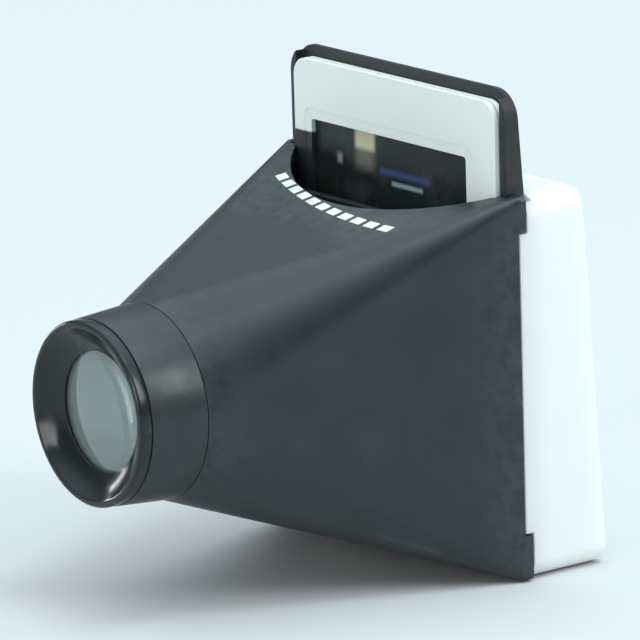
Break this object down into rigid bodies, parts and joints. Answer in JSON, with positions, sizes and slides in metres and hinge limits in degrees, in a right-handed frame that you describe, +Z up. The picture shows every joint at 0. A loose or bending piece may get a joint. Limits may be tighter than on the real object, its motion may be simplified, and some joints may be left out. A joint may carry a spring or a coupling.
{
  "type": "slide viewer",
  "caption": "Hand-held daylight viewer for 50 mm slides: black funnel body, round eyepiece, a slide carrier that pushes down, and an opal light box behind it.",
  "frame": {"origin": "middle of the whole object in X and Y, at the height of its base", "axes": "+Z up, eyepiece points along -Y, light box is on the +Y side, +X is on the right of someone looking into the eyepiece"},
  "size_m": [0.058, 0.077, 0.0758],
  "materials": {
    "body_plastic": "satin",
    "eyepiece_plastic": "gloss",
    "lens_glass": "polished",
    "seat_rubber": "matte",
    "gate_plastic": "matte",
    "spring_steel": "satin",
    "screw_steel": "satin",
    "carrier_plastic": "satin",
    "mount_plastic": "matte",
    "film": "gloss",
    "opal_plastic": "satin",
    "opal_sheet": "matte"
  },
  "bodies": {
    "viewer": {"body_shell": "body_plastic", "eyepiece_barrel": "body_plastic", "eyepiece_ring": "eyepiece_plastic", "eye_lens": "lens_glass", "lens_seat_ring": "seat_rubber", "film_gate": "gate_plastic", "pressure_spring_left": "spring_steel", "pressure_spring_right": "spring_steel", "gate_screw_lower_left": "screw_steel", "gate_screw_upper_left": "screw_steel", "gate_screw_lower_right": "screw_steel", "gate_screw_upper_right": "screw_steel", "light_box": "opal_plastic", "diffuser_screen": "opal_sheet"},
    "carrier": {"slide_carrier": "carrier_plastic"},
    "slide": {"slide_mount_front": "mount_plastic", "slide_mount_rear": "mount_plastic", "film_chip": "film"}
  },
  "joints": [
    {"name": "carrier_slide", "type": "slide", "parent": "viewer", "child": "carrier", "axis": [0, 0, 1], "range_m": [-0.0173, 0]},
    {"name": "slide_lift", "type": "slide", "parent": "carrier", "child": "slide", "axis": [0, 0, 1], "range_m": [0, 0.05]}
  ]
}
